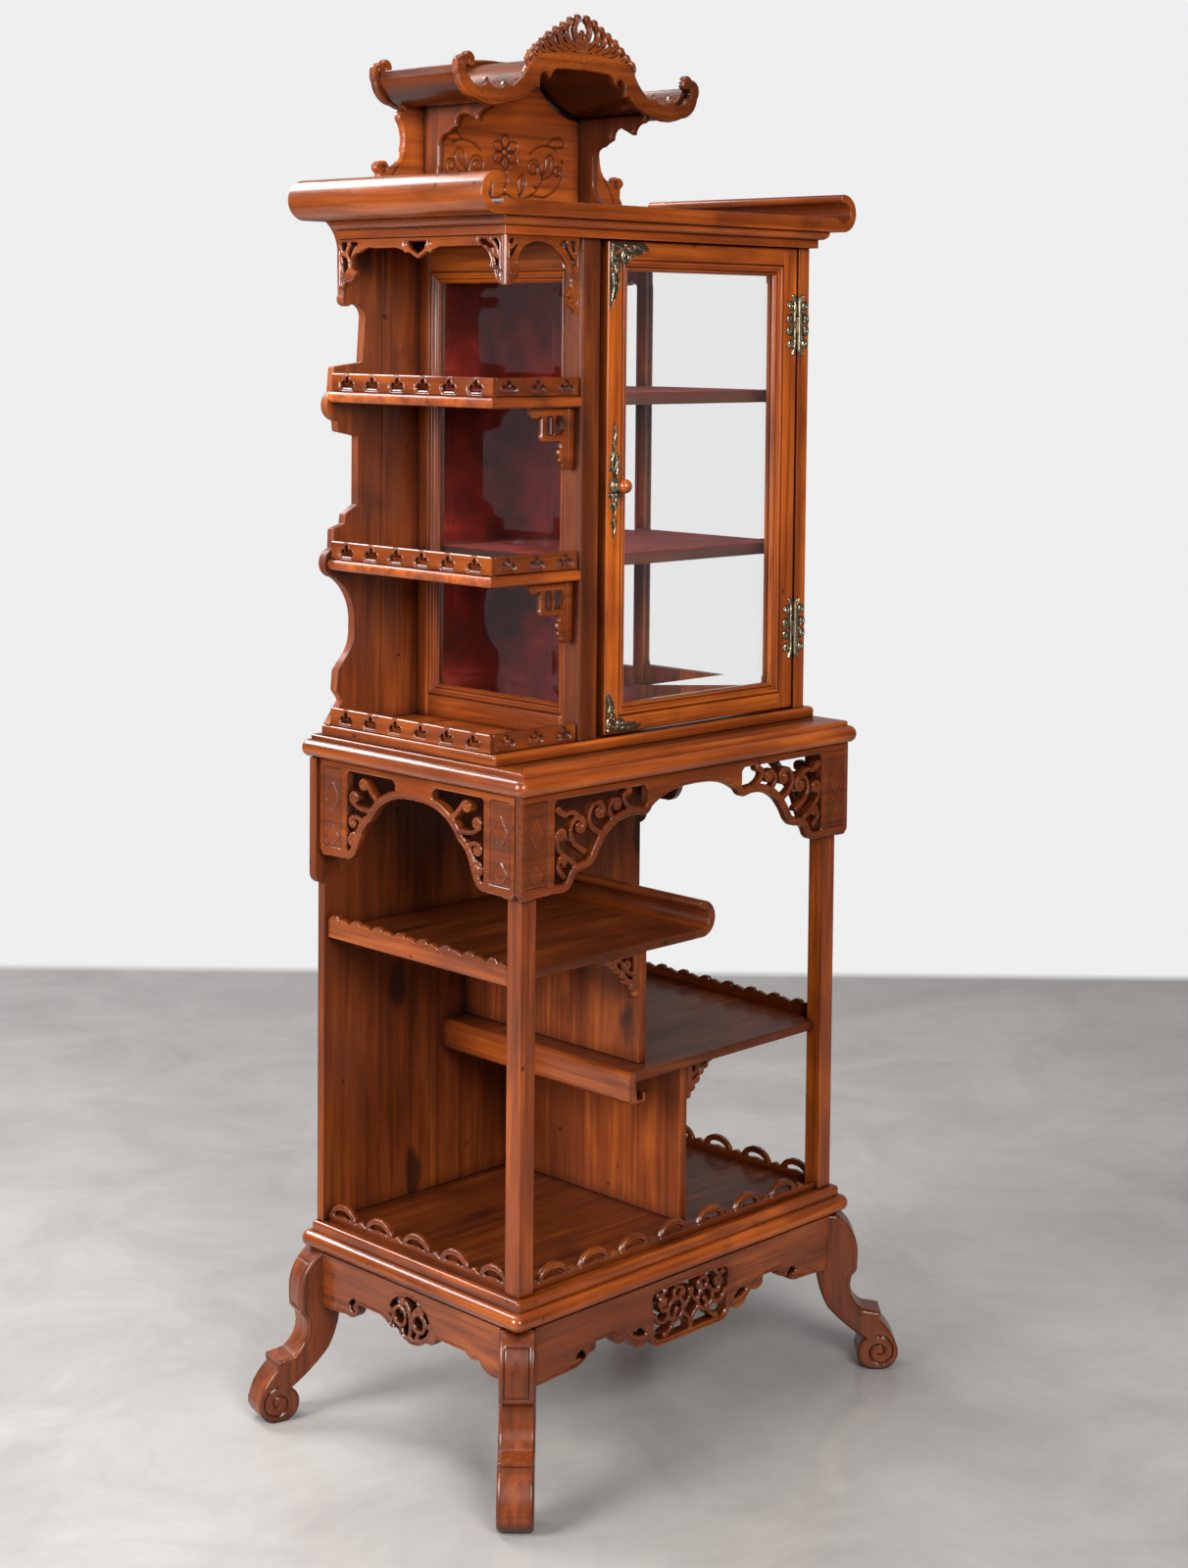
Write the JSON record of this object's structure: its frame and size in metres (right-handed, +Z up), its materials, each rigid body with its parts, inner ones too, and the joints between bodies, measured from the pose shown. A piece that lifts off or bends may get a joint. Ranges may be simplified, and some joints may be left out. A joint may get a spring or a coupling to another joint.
{
  "type": "display cabinet",
  "caption": "Tall carved wooden display cabinet: shrine roof over a glazed case with a hinged door and open side bay, on a four-legged stand with stepped scroll shelves.",
  "frame": {"origin": "middle of the whole footprint (legs included), on the floor", "axes": "+Z up, +X to the right along the front, +Y towards the back; the glazed door faces -Y"},
  "size_m": [0.8402, 0.5422, 1.9661],
  "materials": {
    "frame_wood": "aged polished red-brown hardwood",
    "board_wood": "aged polished plank, darker",
    "carved_wood": "carved, dark in the recesses",
    "glass": "clear bevelled plate",
    "red_velvet": "worn dark red velvet",
    "brass": "dark aged brass",
    "knob_wood": "turned and polished"
  },
  "bodies": {
    "cabinet": {"leg_front_left": "frame_wood", "leg_front_right": "frame_wood", "leg_back_left": "frame_wood", "leg_back_right": "frame_wood", "base_moulding": "frame_wood", "lower_post_left": "frame_wood", "lower_post_right": "frame_wood", "waist_moulding": "frame_wood", "upper_plinth": "frame_wood", "case_post_front_left": "frame_wood", "case_posts_right": "frame_wood", "side_frame_left": "frame_wood", "side_frame_right": "frame_wood", "door_stops": "frame_wood", "cornice_moulding": "frame_wood", "top_slab": "frame_wood", "apron_front": "frame_wood", "apron_back": "frame_wood", "apron_left": "frame_wood", "apron_right": "frame_wood", "bay_shelf_lower": "frame_wood", "bay_shelf_upper": "frame_wood", "shelf_lower_drop": "frame_wood", "shelf_upper_roll": "frame_wood", "shrine_roof": "frame_wood", "base_floor": "board_wood", "waist_board": "board_wood", "lower_back_boards": "board_wood", "upper_back_boards": "board_wood", "shelf_upper": "board_wood", "shelf_lower": "board_wood", "partition_upper": "board_wood", "partition_lower": "board_wood", "case_shelves": "board_wood", "shrine_back_panel": "board_wood", "shrine_side_panels": "board_wood", "apron_pegs": "carved_wood", "base_gallery": "carved_wood", "spandrel_front": "carved_wood", "spandrel_left": "carved_wood", "spandrel_right": "carved_wood", "shelf_galleries": "carved_wood", "partition_brackets": "carved_wood", "bay_galleries": "carved_wood", "bay_brackets": "carved_wood", "bay_fret_left": "carved_wood", "bay_fret_front": "carved_wood", "shrine_gables": "carved_wood", "shrine_crest": "carved_wood", "side_glass": "glass", "case_linings": "red_velvet", "hinge_post_leaves": "brass", "hinge_pins": "brass"},
    "door": {"door_frame": "frame_wood", "door_glass": "glass", "door_corner_mounts": "brass", "door_escutcheon": "brass", "hinge_door_leaves": "brass"},
    "knob": {"door_knob": "knob_wood", "latch_cam": "brass"}
  },
  "joints": [
    {"name": "door_hinge", "type": "hinge", "parent": "cabinet", "child": "door", "pos_m": [0.279, -0.13104, 1.311], "axis": [0, 0, 1], "range_deg": [0, 110]},
    {"name": "knob_turn", "type": "hinge", "parent": "door", "child": "knob", "pos_m": [-0.098, -0.12824, 1.313], "axis": [0, 1, 0], "range_deg": [0, 90]}
  ]
}
